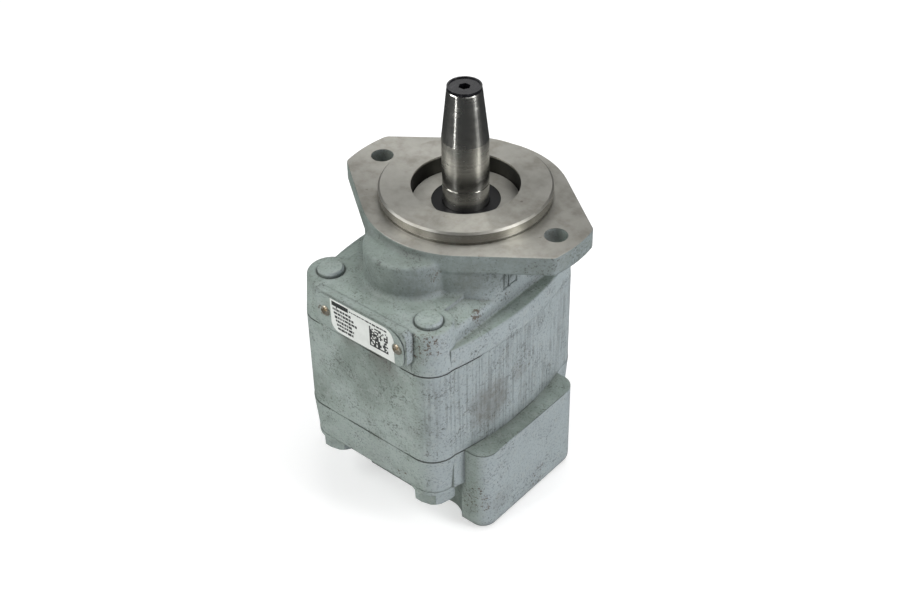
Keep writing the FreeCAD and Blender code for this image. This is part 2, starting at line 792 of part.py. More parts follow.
for tag, x, radius, face_radius in PORTS:
    side = math.copysign(1, x.value)
    mouth_z = P.pump_low_z + P.port_face_deep
    rear_holes += [
        cylinder(f"{tag}_bore", radius, P.pump_low_z - 1, port_top, x, P.centre_y),
        cylinder(f"{tag}_face", face_radius, P.pump_low_z - 1, mouth_z, x, P.centre_y),
        cone(
            f"{tag}_chamfer",
            radius + P.port_cham,
            radius,
            mouth_z,
            mouth_z + P.port_cham,
            x,
            P.centre_y,
        ),
        cylinder(
            f"{tag}_passage",
            P.passage_rad,
            port_top - 0.5,
            P.joint_b_z + 1,
            P.passage_x * side,
            P.centre_y,
        ),
    ]
port_end_cover = cut("port_end_cover", rear_blank, rear_holes)

# ---------------------------------------------------------------------- gears

gear_low_z = P.joint_b_z + P.plate_thick + P.gear_slack
gear_top_z = P.joint_a_z - P.plate_thick - P.gear_slack


def involute(angle):
    return math.tan(angle) - angle


def tooth_points():
    """One flank of a tooth as (radius, half angle) pairs, root to tip."""
    pressure = math.radians(20)
    teeth = P.teeth.value
    pitch_r = P.gear_module.value * teeth / 2
    base_r = pitch_r * math.cos(pressure)
    thick = P.gear_module.value * (math.pi / 2 + 2 * P.gear_shift.value * math.tan(pressure))
    half_angle = (thick - P.gear_thin.value) / (2 * pitch_r) + involute(pressure)
    start = max(base_r, P.gear_root_rad.value) + 0.02
    steps = 9
    pairs = []
    for i in range(steps):
        radius = start + (P.gear_tip_rad.value - start) * i / (steps - 1)
        pairs.append((radius, half_angle - involute(math.acos(base_r / radius))))
    return pairs


def polar(radius, angle, z=0.0):
    return V(radius * math.cos(angle), radius * math.sin(angle), z)


def gear_wire(start_angle):
    """Outline of one gear with its first tooth centred on start_angle."""
    flank = tooth_points()
    pitch = 2 * math.pi / P.teeth.value
    root_r = P.gear_root_rad.value
    edges = []
    for i in range(int(P.teeth.value)):
        axis = start_angle + i * pitch
        rising = [polar(r, axis - a) for r, a in flank]
        falling = [polar(r, axis + a) for r, a in reversed(flank)]
        foot_in = polar(root_r, axis - flank[0][1])
        foot_out = polar(root_r, axis + flank[0][1])
        next_foot = polar(root_r, axis + pitch - flank[0][1])
        for side in (rising, falling):
            curve = Part.BSplineCurve()
            curve.interpolate(side)
            edges.append(curve.toShape())
        tip_mid = polar(P.gear_tip_rad.value, axis)
        root_mid = polar(root_r, axis + pitch / 2)
        edges.append(Part.Arc(rising[-1], tip_mid, falling[0]).toShape())
        edges.append(Part.makeLine(foot_in, rising[0]))
        edges.append(Part.makeLine(falling[-1], foot_out))
        edges.append(Part.Arc(foot_out, root_mid, next_foot).toShape())
    return Part.Wire(Part.sortEdges(edges)[0])


def toothed_rim(name, start_angle, y):
    rim = doc.addObject("Part::Feature", name)
    face = Part.Face(gear_wire(start_angle))
    rim.Shape = face.extrude(V(0, 0, gear_top_z.value - gear_low_z.value))
    return place(rim, 0.0, y, gear_low_z)


tooth_pitch = 2 * math.pi / P.teeth.value
drive_rim = toothed_rim("drive_teeth", -math.pi / 2, 0.0)
driven_rim = toothed_rim("driven_teeth", math.pi / 2 + tooth_pitch / 2, P.gear_y)

journal_low_z = P.joint_b_z - P.journal_long
journal_top_z = P.joint_a_z + P.journal_long
thread_low_z = P.shaft_top - P.thread_deep
drive_core = turned("drive_core", [
    (0.0, journal_low_z),
    (P.shaft_rad - 1, journal_low_z),
    (P.shaft_rad, journal_low_z + 1),
    (P.shaft_rad, P.ring_z),
    (P.shaft_rad - P.ring_deep, P.ring_z),
    (P.shaft_rad - P.ring_deep, P.ring_z + P.ring_wide),
    (P.shaft_rad, P.ring_z + P.ring_wide),
    (P.shaft_rad, P.taper_low),
    (P.taper_top_rad, P.shaft_top - P.shaft_cham),
    (P.taper_top_rad - P.shaft_cham, P.shaft_top),
    (P.thread_rad, P.shaft_top),
    (P.thread_rad, thread_low_z),
    (0.0, thread_low_z - 2),
])
key_cutter = doc.addObject("Part::Cylinder", "keyway_cutter")
bind(key_cutter, "Radius", P.key_cutter_rad)
bind(key_cutter, "Height", P.key_width)
key_z = (P.taper_low + P.shaft_top) * 0.5
key_y = (P.shaft_rad + P.taper_top_rad) * 0.5 - P.key_deep + P.key_cutter_rad
place(key_cutter, P.key_width * -0.5, key_y, key_z, FreeCAD.Rotation(V(0, 1, 0), 90))
drive_gear_shaft = cut(
    "drive_gear_shaft",
    fuse("drive_blank", [drive_core, drive_rim]),
    [key_cutter],
)
driven_core = turned("driven_core", [
    (0.0, journal_low_z),
    (P.shaft_rad - 1, journal_low_z),
    (P.shaft_rad, journal_low_z + 1),
    (P.shaft_rad, journal_top_z - 1),
    (P.shaft_rad - 1, journal_top_z),
    (0.0, journal_top_z),
], P.gear_y)
driven_gear = fuse("driven_gear", [driven_core, driven_rim])

# ------------------------------------------- thrust plates, seals and bushes


def thrust_plate(name, z_low, z_high, groove_low, groove_high):
    holes = figure_eight(name + "_hole", P.plate_hole_rad, z_low - 1, z_high + 1)
    groove = seal_loop(name + "_groove", groove_low, groove_high)
    blank = fuse(name + "_blank", figure_eight(name + "_disc", P.plate_rad, z_low, z_high))
    return cut(name, blank, holes + [groove])


def seal_loop(name, z_low, z_high):
    """Closed loop that follows both shaft holes."""
    outer = fuse(name + "_outer", figure_eight(name + "_out", P.pocket_seal_out, z_low, z_high)
                 + [loop_waist(name + "_outer_waist", P.pocket_seal_out, z_low, z_high)])
    inner = fuse(name + "_inner", figure_eight(name + "_in", P.pocket_seal_in, z_low, z_high)
                 + [loop_waist(name + "_inner_waist", P.pocket_seal_in, z_low, z_high)])
    return cut(name, outer, [inner])


def loop_waist(name, radius, z_low, z_high):
    half_width = radius - 8
    return box(name, (-half_width, half_width), (P.gear_y, 0.0), (z_low, z_high))


front_seal_z = P.joint_a_z - P.pocket_seal_deep
rear_seal_z = P.joint_b_z + P.pocket_seal_deep
thrust_front = thrust_plate(
    "thrust_plate_front",
    P.joint_a_z - P.plate_thick,
    P.joint_a_z,
    front_seal_z,
    P.joint_a_z,
)
thrust_rear = thrust_plate(
    "thrust_plate_rear",
    P.joint_b_z,
    P.joint_b_z + P.plate_thick,
    P.joint_b_z,
    rear_seal_z,
)
pocket_front = seal_loop("pocket_seal_front", front_seal_z, P.joint_a_z)
pocket_rear = seal_loop("pocket_seal_rear", P.joint_b_z, rear_seal_z)
body_seal_front = track_ring(
    "body_seal_front",
    P.body_seal_out,
    P.body_seal_in,
    P.joint_a_z,
    P.joint_a_z + P.body_seal_deep,
)
body_seal_rear = track_ring(
    "body_seal_rear",
    P.body_seal_out,
    P.body_seal_in,
    P.joint_b_z - P.body_seal_deep,
    P.joint_b_z,
)


def bush(name, z_low, y):
    z_high = z_low + P.bush_long
    return turned(name, [
        (P.bush_in + 0.5, z_low),
        (P.bush_out, z_low),
        (P.bush_out, z_high),
        (P.bush_in + 0.5, z_high),
        (P.bush_in, z_high - 0.5),
        (P.bush_in, z_low + 0.5),
    ], y)


rear_bush_z = P.joint_b_z - P.bush_long
bushes = [
    bush("bush_drive_front", P.joint_a_z, 0.0),
    bush("bush_drive_rear", rear_bush_z, 0.0),
    bush("bush_driven_front", P.joint_a_z, P.gear_y),
    bush("bush_driven_rear", rear_bush_z, P.gear_y),
]

# ------------------------------------------------------------------ shaft seal

seal_top = counter_z - 0.5
seal_skirt = seal_top - 1.5
seal_floor = counter_z - P.seal_deep + 1.3
seal_case = turned("seal_case", [
    (P.seal_rad - 0.9, seal_skirt),
    (P.seal_rad - 0.9, seal_floor),
    (P.lip_rad + 2.25, seal_floor),
    (P.lip_rad + 2.25, seal_floor - 1),
    (P.seal_rad, seal_floor - 1),
    (P.seal_rad, seal_skirt),
])
shaft_seal = turned("shaft_seal", [
    (P.seal_rad, seal_top),
    (P.seal_rad, seal_skirt),
    (P.seal_rad - 0.9, seal_skirt),
    (P.seal_rad - 0.9, seal_floor),
    (P.seal_rad - 2.1, seal_floor),
    (P.seal_rad - 2.1, seal_top - 2.2),
    (P.lip_rad + 1.75, seal_top - 2.2),
    (P.lip_rad + 1.55, seal_top - 6.1),
    (P.lip_rad + 0.85, seal_top - 6.1),
    (P.lip_rad, seal_top - 5.2),
    (P.lip_rad + 0.85, seal_top - 3.0),
    (P.lip_rad + 0.85, seal_top - 1.4),
    (P.lip_rad, seal_top - 0.5),
    (P.lip_rad + 0.3, seal_top),
])
garter = doc.addObject("Part::Torus", "garter_spring")
bind(garter, "Radius1", P.lip_rad + 2.3)
garter.Radius2 = 0.6
place(garter, 0.0, 0.0, seal_top - 5.2)

# ----------------------------------------------------------------- fasteners

bolt_top_z = P.lobe_top_z + P.bolt_end_high
washer_low_z = P.lobe_low_z - P.washer_thick
head_low_z = washer_low_z - P.bolt_head_high
bolt_solids = []
washer_solids = []
for tag, x, y in BOLTS:
    shank = cylinder(f"bolt_shank_{tag}", P.bolt_rad, washer_low_z, bolt_top_z - 1, x, y)
    point = cone(f"bolt_point_{tag}", P.bolt_rad, P.bolt_rad - 0.9, bolt_top_z - 1, bolt_top_z, x, y)
    flats = hexagon(f"bolt_hex_{tag}", P.bolt_head_rad, head_low_z, washer_low_z, x, y, 15.0)
    dome = cone(
        f"bolt_dome_{tag}",
        P.bolt_head_rad - 1.2,
        P.bolt_head_rad + 6.7,
        head_low_z,
        washer_low_z,
        x,
        y,
    )
    head = common(f"bolt_head_{tag}", [flats, dome])
    bolt_solids.append(fuse(f"bolt_{tag}", [shank, point, head]))
    ring = cylinder(f"washer_disc_{tag}", P.washer_rad, washer_low_z, P.lobe_low_z, x, y)
    hole = cylinder(f"washer_hole_{tag}", P.bolt_hole_rad, washer_low_z - 1, P.lobe_low_z + 1, x, y)
    washer_solids.append(cut(f"washer_{tag}", ring, [hole]))
housing_bolts = compound("housing_bolts", bolt_solids)
bolt_washers = compound("bolt_washers", washer_solids)

dowel_solids = [
    cylinder(
        f"dowel_{end}_{tag}",
        P.dowel_rad,
        z - P.dowel_half + 0.2,
        z + P.dowel_half - 0.2,
        x,
        y,
    )
    for end, z in (("front", P.joint_a_z), ("rear", P.joint_b_z))
    for tag, x, y in dowels
]
dowel_pins = compound("dowel_pins", dowel_solids)

# ------------------------------------------------------------------ nameplate

plate_blank = box(
    "nameplate_blank",
    (P.plate_left_x, P.plate_right_x),
    (P.pad_y - P.plate_metal, P.pad_y),
    (P.plate_low_z, P.plate_top_z),
)


def plate_corner_edge(edge):
    spot = middle(edge)
    return runs_back(edge) and not (spot.x > 15 and spot.z > -35)


plate_nose = round_edges("nameplate_nose", plate_blank, P.plate_nose, nose_edge)
plate_round = round_edges("nameplate_round", plate_nose, P.plate_corner, plate_corner_edge)
nameplate = cut("nameplate", plate_round, [
    rivet_shape(f"nameplate_hole_{tag}", P.rivet_rad, P.plate_metal + 1, x)
    for tag, x in rivet_spots
])
rivet_solids = []
for tag, x in rivet_spots:
    shank = rivet_shape(f"rivet_shank_{tag}", P.rivet_rad, P.rivet_long + P.plate_metal - 0.5, x)
    head = doc.addObject("Part::Ellipsoid", f"rivet_head_{tag}")
    bind(head, "Radius1", P.rivet_head_high)
    bind(head, "Radius2", P.rivet_head_rad)
    bind(head, "Radius3", P.rivet_head_rad)
    head.Angle1 = 0.0
    head.Angle2 = 90.0
    place(head, x, P.pad_y - P.plate_metal, rivet_z, FreeCAD.Rotation(V(1, 0, 0), 90))
    rivet_solids.append(fuse(f"rivet_{tag}", [shank, head]))
nameplate_rivets = compound("nameplate_rivets", rivet_solids)

# ---------------------------------------------------------- thread protector

plug_top = P.shaft_top + P.plug_thick
plug_body = turned("plug_body", [
    (0.0, P.shaft_top - P.plug_stem_long),
    (P.plug_stem_rad - 0.6, P.shaft_top - P.plug_stem_long),
    (P.plug_stem_rad, P.shaft_top - P.plug_stem_long + 0.6),
    (P.plug_stem_rad, P.shaft_top),
    (P.plug_rad, P.shaft_top),
    (P.plug_rad, plug_top + P.plug_rim_high),
    (P.plug_rad - 0.8, plug_top + P.plug_rim_high),
    (P.plug_rad - 0.8, plug_top),
    (0.0, plug_top),
])
plug_recess = hexagon("plug_recess", P.plug_hex_rad, P.shaft_top - 5, plug_top + 2, 0.0, 0.0, 0.0)
shaft_end_plug = cut("shaft_end_plug", plug_body, [plug_recess])

# --------------------------------------------------------------------- output

NODES = [
    shaft_end_cover, gear_housing, port_end_cover,
    drive_gear_shaft, driven_gear,
    thrust_front, thrust_rear, pocket_front, pocket_rear,
    body_seal_front, body_seal_rear,
    *bushes,
    seal_case, shaft_seal, garter,
    housing_bolts, bolt_washers, dowel_pins,
    nameplate, nameplate_rivets,
    shaft_end_plug,
]
doc.recompute()
for node in NODES:
    node.Label = node.Name

for obj in doc.Objects:
    bad = [flag for flag in obj.State if flag in ("Invalid", "Error")]
    if bad:
        raise RuntimeError(f"{obj.Name}: {obj.State}")
    if hasattr(obj, "Shape") and obj.TypeId.startswith(("Part::", "PartDesign::Body")):
        if obj.Shape.isNull() or not obj.Shape.isValid():
            raise RuntimeError(f"{obj.Name}: bad shape")

os.makedirs("parts", exist_ok=True)
for node in NODES:
    node.Shape.exportStep(f"parts/{node.Name}.step")
    size = node.Shape.BoundBox
    print(node.Name, len(node.Shape.Solids), round(node.Shape.Volume, 1),
          [round(v, 2) for v in (size.XMin, size.XMax, size.YMin, size.YMax, size.ZMin, size.ZMax)])
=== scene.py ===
import json
import math
import random

import bmesh
import bpy
from mathutils import Matrix, Vector


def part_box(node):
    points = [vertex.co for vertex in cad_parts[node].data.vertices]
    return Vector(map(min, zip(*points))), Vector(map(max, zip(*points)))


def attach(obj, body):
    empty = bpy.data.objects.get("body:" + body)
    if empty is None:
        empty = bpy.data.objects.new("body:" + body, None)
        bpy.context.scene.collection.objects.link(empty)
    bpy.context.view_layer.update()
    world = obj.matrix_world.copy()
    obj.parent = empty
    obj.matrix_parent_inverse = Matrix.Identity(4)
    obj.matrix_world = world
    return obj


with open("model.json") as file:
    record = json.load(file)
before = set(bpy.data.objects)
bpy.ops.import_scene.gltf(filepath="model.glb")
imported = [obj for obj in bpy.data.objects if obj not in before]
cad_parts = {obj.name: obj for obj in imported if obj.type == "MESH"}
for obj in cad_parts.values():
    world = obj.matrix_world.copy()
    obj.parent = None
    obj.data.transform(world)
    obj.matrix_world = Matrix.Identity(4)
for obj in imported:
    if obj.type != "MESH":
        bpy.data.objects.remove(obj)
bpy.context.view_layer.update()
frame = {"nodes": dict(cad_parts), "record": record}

MM = 0.001
PUMP = "pump_body"

# Places on the pump, in metres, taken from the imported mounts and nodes.
record = frame["record"]
mounts = {m["name"]: m for m in record["mounts"]}
PILOT_R = mounts["pilot"]["dims"]["r_mm"] * MM
HOUSING_LOW, HOUSING_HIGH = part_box("gear_housing")
PLATE_LOW, PLATE_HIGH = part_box("nameplate")
RIVETS_LOW, RIVETS_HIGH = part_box("nameplate_rivets")
JOINT_A = HOUSING_HIGH[2]
JOINT_B = HOUSING_LOW[2]
FLOOR_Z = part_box("port_end_cover")[0][2]


# ------------------------------------------------------------ node helpers


class Nodes:
    """Short way to write a procedural material."""

    def __init__(self, name):
        self.material = bpy.data.materials.new(name)
        self.material.use_nodes = True
        self.tree = self.material.node_tree
        self.shader = self.tree.nodes["Principled BSDF"]
        self.place = self.add("ShaderNodeTexCoord").outputs["Object"]

    def add(self, kind, **settings):
        node = self.tree.nodes.new(kind)
        for key, value in settings.items():
            setattr(node, key, value)
        return node

    def put(self, socket, value):
        if isinstance(value, bpy.types.NodeSocket):
            self.tree.links.new(value, socket)
        else:
            socket.default_value = value

    def math(self, operation, a, b=0.0, c=0.0):
        node = self.add("ShaderNodeMath", operation=operation)
        for socket, value in zip(node.inputs, (a, b, c)):
            self.put(socket, value)
        return node.outputs[0]

    def vector(self, operation, a, b=(0.0, 0.0, 0.0)):
        node = self.add("ShaderNodeVectorMath", operation=operation)
        self.put(node.inputs[0], a)
        self.put(node.inputs[1], b)
        return node.outputs["Value" if operation in ("LENGTH", "DISTANCE") else "Vector"]

    def axes(self, vector=None):
        node = self.add("ShaderNodeSeparateXYZ")
        self.put(node.inputs[0], vector or self.place)
        return node.outputs

    def normal_axes(self):
        return self.axes(self.add("ShaderNodeNewGeometry").outputs["Normal"])

    def noise(self, size, detail=3.0, rough=0.5, stretch=(1.0, 1.0, 1.0)):
        """Noise whose patches are about size metres across, from 0 to 1."""
        where = self.vector("MULTIPLY", self.place, stretch)
        node = self.add("ShaderNodeTexNoise")
        self.put(node.inputs["Vector"], where)
        self.put(node.inputs["Scale"], 1.0 / size)
        self.put(node.inputs["Detail"], detail)
        self.put(node.inputs["Roughness"], rough)
        return node.outputs["Fac"]

    def cells(self, size):
        """Distance to the nearest of scattered points about size metres apart."""
        node = self.add("ShaderNodeTexVoronoi", feature="F1")
        self.put(node.inputs["Vector"], self.place)
        self.put(node.inputs["Scale"], 1.0 / size)
        return node.outputs["Distance"]

    def ramp(self, value, low, high, out_low=0.0, out_high=1.0):
        """Smooth step of value from low to high."""
        node = self.add("ShaderNodeMapRange", interpolation_type="SMOOTHSTEP")
        self.put(node.inputs["Value"], value)
        self.put(node.inputs["From Min"], low)
        self.put(node.inputs["From Max"], high)
        self.put(node.inputs["To Min"], out_low)
        self.put(node.inputs["To Max"], out_high)
        return node.outputs["Result"]

    def mix(self, amount, a, b):
        """Blend of two colours. A Mix node keeps its colours in sockets 6 and 7."""
        node = self.add("ShaderNodeMix", data_type="RGBA")
        self.put(node.inputs["Factor"], amount)
        for socket, value in ((node.inputs[6], a), (node.inputs[7], b)):
            self.put(socket, value if isinstance(value, bpy.types.NodeSocket) else (*value, 1.0))
        return node.outputs[2]

    def blend(self, amount, a, b):
        """Blend of two numbers, which a Mix node keeps in sockets 2 and 3."""
        node = self.add("ShaderNodeMix", data_type="FLOAT")
        self.put(node.inputs["Factor"], amount)
        self.put(node.inputs[2], a)
        self.put(node.inputs[3], b)
        return node.outputs[0]

    def bend(self, amount, a, b):
        """Blend of two directions, which a Mix node keeps in sockets 4 and 5."""
        node = self.add("ShaderNodeMix", data_type="VECTOR")
        self.put(node.inputs["Factor"], amount)
        self.put(node.inputs[4], a)
        self.put(node.inputs[5], b)
        return node.outputs[1]

    def bump(self, height, distance, below=None):
        node = self.add("ShaderNodeBump")
        self.put(node.inputs["Strength"], 1.0)
        self.put(node.inputs["Distance"], distance)
        self.put(node.inputs["Height"], height)
        if below is not None:
            self.put(node.inputs["Normal"], below)
        return node.outputs["Normal"]

    def soft_edges(self, radius):
        node = self.add("ShaderNodeBevel", samples=4)
        self.put(node.inputs["Radius"], radius)
        return node.outputs["Normal"]

    def crevice(self, reach):
        """How closed in a place is, from 0 in the open to 1 in a corner."""
        node = self.add("ShaderNodeAmbientOcclusion", samples=6)
        self.put(node.inputs["Distance"], reach)
        return self.math("SUBTRACT", 1.0, node.outputs["AO"])

    def rings(self, pitch, wobble=0.0):
        """Fine turned rings round the shaft axis, from 0 to 1."""
        node = self.add("ShaderNodeTexWave", wave_type="RINGS", rings_direction="Z")
        self.put(node.inputs["Vector"], self.place)
        self.put(node.inputs["Scale"], 0.314 / pitch)
        self.put(node.inputs["Distortion"], wobble)
        self.put(node.inputs["Detail"], 2.0)
        return node.outputs["Fac"]

    def turned_finish(self, amount):
        """Highlights stretched across the turning marks, which run round the shaft axis."""
        tangent = self.add("ShaderNodeTangent", direction_type="RADIAL", axis="Z")
        self.put(self.shader.inputs["Tangent"], tangent.outputs[0])
        self.shader.inputs["Anisotropic"].default_value = amount
        self.shader.inputs["Anisotropic Rotation"].default_value = 0.25

    def finish(self, color, roughness, metallic=0.0, normal=None):
        self.put(self.shader.inputs["Base Color"], color)
        self.put(self.shader.inputs["Roughness"], roughness)
        self.put(self.shader.inputs["Metallic"], metallic)
        if normal is not None:
            self.put(self.shader.inputs["Normal"], normal)
        return self.material


# ---------------------------------------------------------------- materials

PAINT_PALE = (0.315, 0.370, 0.348)
PAINT_GREEN = (0.250, 0.305, 0.270)
PAINT_LIT_SIDE_BLUE = (0.318, 0.362, 0.392)
PAINT_DUST = (0.355, 0.385, 0.372)
PAINT_DEEP = (0.190, 0.232, 0.205)
PAINT_FLANGE_SHADE = (0.120, 0.145, 0.132)
GRIME_AND_SHADE = (0.085, 0.088, 0.078)
SOIL_AND_SHADOW = (0.100, 0.092, 0.076)
PIT = (0.045, 0.047, 0.042)
RUST = (0.092, 0.066, 0.048)
MACHINED = (0.400, 0.392, 0.355)
MACHINED_STAIN = (0.300, 0.288, 0.252)
MACHINED_STREAK = (0.46, 0.45, 0.42)
MACHINED_RING = (0.52, 0.51, 0.48)
BORE_SHADE_DARK = (0.014, 0.014, 0.011)
STEEL_PALE = (0.66, 0.655, 0.62)
STEEL_BAND = (0.57, 0.565, 0.53)
STEEL_BRIGHT = (0.72, 0.72, 0.70)
STEEL_SMEAR = (0.16, 0.15, 0.13)
STEEL_CLOUD = (0.40, 0.39, 0.35)

# Heights and radii in metres where one finish gives way to another, painted shade included.
SEAM_DARK, SEAM_FADED = 0.00016, 0.00042
SHADE_FROM_Z, SHADE_FULL_Z = -0.0250, -0.0170
BARE_ABOVE_Z = -0.00006
PILOT_FOOT_Z, PILOT_FOOT_WIDE = -0.001, 0.0004
BORE_FLOOR_Z, BORE_LIMIT_R = -0.030, 0.027
BORE_WALL_IN_R, BORE_WALL_OUT_R = 0.0255, 0.0262
BORE_SHADE_FROM_Z, BORE_SHADE_FULL_Z = 0.0062, 0.0050

# Patches of wear, and of soil with painted shadow: place in metres, radius, and how dense the specks
# in them are.
CHIPS = (
    ((0.036, -0.0700, -0.0285), 0.0130, 0.62),
    ((-0.0200, -0.0785, -0.0305), 0.0050, 0.75),
    ((-0.0300, -0.0760, -0.0300), 0.0090, 0.35),
    ((0.0000, -0.0490, -0.0130), 0.0060, 0.80),
    ((0.0550, -0.0150, -0.1380), 0.0120, 0.45),
    ((0.0440, -0.0200, -0.0300), 0.0060, 0.60),
    ((0.0200, -0.0750, -0.1180), 0.0120, 0.50),
    ((0.0540, -0.0560, -0.1280), 0.0130, 0.55),
    ((0.0405, -0.0400, -0.0275), 0.0060, 0.90),
    ((0.0180, -0.0460, -0.0110), 0.0070, 0.85),
)
# Soil and painted shadow: the two patches under the nameplate pad paint its shadow, and the two at the
# flange holes paint the shade inside the holes.
SMUDGES_AND_SHADOWS = (
    ((0.0100, -0.0485, -0.0150), 0.0140, 0.50),
    ((-0.0180, -0.0440, -0.0150), 0.0140, 0.45),
    ((0.0330, -0.0380, -0.0150), 0.0130, 0.40),
    ((-0.0532, 0.0000, -0.0050), 0.0100, 0.95),
    ((0.0500, 0.0020, -0.0050), 0.0075, 0.70),
    ((0.0486, -0.0400, -0.0785), 0.0170, 0.95),
    ((0.0486, -0.0200, -0.0700), 0.0080, 0.50),
    ((0.0120, -0.0752, -0.0440), 0.0130, 0.80),
    ((-0.0080, -0.0752, -0.0430), 0.0090, 0.55),
    ((0.0330, -0.0640, -0.0600), 0.0080, 0.20),
    ((0.0500, -0.0450, -0.1330), 0.0140, 0.40),
    ((0.0050, -0.0740, -0.1100), 0.0150, 0.25),
)


def spots(n, places, roughness):
    """Soft patches at the listed places, ragged at the edge, from 0 to 1."""
    total = 0.0
    for centre, radius, strength in places:
        away = n.vector("DISTANCE", n.place, centre)
        inner = n.math("SUBTRACT", away, radius * 0.6)
        ragged = n.math("MULTIPLY_ADD", roughness, radius * 1.2, inner)
        patch = n.ramp(ragged, radius * 0.35, radius, strength, 0.0)
        total = n.math("MAXIMUM", total, patch)
    return total


def seams(n, x, y, z, facing_z):
    """Thin dark lines at the two body joints, open at the lobes and filled with paint elsewhere."""
    gaps = n.noise(0.030, 1.0)
    total = 0.0
    at_front = n.ramp(y, -0.052, -0.040, 1.0, 0.0)
    for joint, open_from in ((JOINT_A, 0.53), (JOINT_B, 0.45)):
        off = n.math("ABSOLUTE", n.math("SUBTRACT", z, joint))
        line = n.ramp(off, SEAM_DARK, SEAM_FADED, 1.0, 0.0)
        corner = n.math("MULTIPLY", n.ramp(n.math("ABSOLUTE", x), 0.020, 0.030), at_front)
        shown = n.ramp(n.math("MULTIPLY_ADD", corner, 0.22, gaps), open_from + 0.05, open_from + 0.14)
        total = n.math("MAXIMUM", total, n.math("MULTIPLY", line, shown))
    return n.math("MULTIPLY", total, n.ramp(n.math("ABSOLUTE", facing_z), 0.3, 0.6, 1.0, 0.0))


def painted(name, machined_face=False, striated=False, pitted=1.0, seamed=False, edge=0.0007):
    """Weathered grey-green paint over a casting, with painted light and shade on it, and edges
    softened by edge metres.
    """
    n = Nodes(name)
    x, y, z = n.axes()
    facing_x, _, facing_z = n.normal_axes()

    patches = n.noise(0.045, 3.0, 0.55)
    broad = n.noise(0.020, 4.0, 0.6)
    fine = n.noise(0.0035, 4.0, 0.65)
    grain = n.noise(0.0011, 3.0, 0.6)
    specks = n.cells(0.0036)

    color = n.mix(n.ramp(broad, 0.30, 0.70), PAINT_GREEN, PAINT_PALE)
    color = n.mix(n.ramp(patches, 0.44, 0.62, 0.0, 0.85), color, PAINT_DEEP)
    color = n.mix(n.ramp(n.noise(0.009, 3.0, 0.6), 0.52, 0.70, 0.0, 0.45), color, PAINT_DEEP)
    # Painted light: the side facing +x is paler and bluer, as if lit from that side.
    color = n.mix(n.ramp(facing_x, 0.10, 0.90, 0.0, 0.75), color, PAINT_LIT_SIDE_BLUE)
    color = n.mix(n.ramp(fine, 0.45, 0.80, 0.0, 0.55), color, PAINT_DUST)
    color = n.mix(n.ramp(grain, 0.50, 0.30, 0.0, 0.40), color, GRIME_AND_SHADE)

    if machined_face:
        # Painted shade under the flange: the paint from SHADE_FROM_Z up to the flange face turns
        # darker, unevenly.
        near_flange = n.ramp(z, SHADE_FROM_Z, SHADE_FULL_Z)
        painted_flange_shade = n.math("MULTIPLY", near_flange, n.ramp(fine, 0.25, 0.70, 0.55, 1.0))
        color = n.mix(n.math("MULTIPLY", painted_flange_shade, 0.62), color, PAINT_FLANGE_SHADE)

    # Open pores in the casting that the paint doesn't fill.
    room = n.ramp(n.noise(0.012, 3.0, 0.6), 0.40, 0.66)
    small = n.ramp(n.math("MULTIPLY_ADD", room, 0.13, n.noise(0.0012, 2.0, 0.75)), 0.66, 0.74)
    large = n.ramp(n.math("SUBTRACT", specks, n.math("MULTIPLY", room, 0.14)), 0.02, -0.03)
    pores = n.math("MAXIMUM", n.math("MULTIPLY", small, 0.55), n.math("MULTIPLY", large, 0.62))
    pores = n.math("MULTIPLY", pores, pitted)
    color = n.mix(pores, color, PIT)

    chip_area = spots(n, CHIPS, broad)
    flaking = n.math("ADD", n.noise(0.0016, 3.0, 0.7), n.math("MULTIPLY", chip_area, 0.24))
    chipped = n.ramp(flaking, 0.68, 0.76)
    chipped = n.math("MULTIPLY", chipped, n.ramp(chip_area, 0.0, 0.15))
    color = n.mix(n.math("MULTIPLY", chipped, 0.88), color, RUST)

    # Soil and painted shadow from the listed patches.
    smudge_and_shadow = n.math("MULTIPLY", spots(n, SMUDGES_AND_SHADOWS, broad), n.ramp(fine, 0.25, 0.75, 0.45, 1.0))
    color = n.mix(n.math("MULTIPLY", smudge_and_shadow, 0.70), color, SOIL_AND_SHADOW)
    # Painted shade: the paint turns darker where the surface is closed in, in corners and crevices,
    # mixed with grime.
    closed = n.ramp(n.crevice(0.010), 0.12, 0.60)
    closed = n.math("MULTIPLY", closed, n.ramp(broad, 0.25, 0.65, 0.45, 0.85))
    color = n.mix(n.math("MULTIPLY", closed, 0.62), color, GRIME_AND_SHADE)

    relief = n.math("ADD", broad, n.math("MULTIPLY", fine, 0.42))
    relief = n.math("ADD", relief, n.math("MULTIPLY", grain, 0.10))
    relief = n.math("SUBTRACT", relief, n.math("MULTIPLY", pores, 0.12))
    relief = n.math("SUBTRACT", relief, n.math("MULTIPLY", chipped, 0.05))

    if striated:
        lines = n.noise(0.0014, 1.0, 0.5, (1.0, 1.0, 0.03))
        broken = n.ramp(n.noise(0.006, 3.0, 0.6), 0.30, 0.62, 0.25, 1.0)
        sideways = n.ramp(n.math("ABSOLUTE", facing_x), 0.12, 0.60)
        where = n.math("MULTIPLY", sideways, n.ramp(patches, 0.30, 0.52))
        cut = n.math("MULTIPLY", n.math("MULTIPLY", n.ramp(lines, 0.46, 0.62), where), broken)
        color = n.mix(n.math("MULTIPLY", cut, 0.34), color, GRIME_AND_SHADE)
        relief = n.math("SUBTRACT", relief, n.math("MULTIPLY", cut, 0.20))
    if seamed:
        seam = seams(n, x, y, z, facing_z)
        color = n.mix(n.math("MULTIPLY", seam, 0.92), color, PIT)
        relief = n.math("SUBTRACT", relief, n.math("MULTIPLY", seam, 0.5))

    roughness = n.ramp(fine, 0.2, 0.8, 0.44, 0.62)
    roughness = n.blend(chipped, roughness, 0.75)
    soft = n.soft_edges(edge)
    normal = n.bump(relief, 0.00100, soft)
    if not machined_face:
        return n.finish(color, roughness, 0.0, normal)

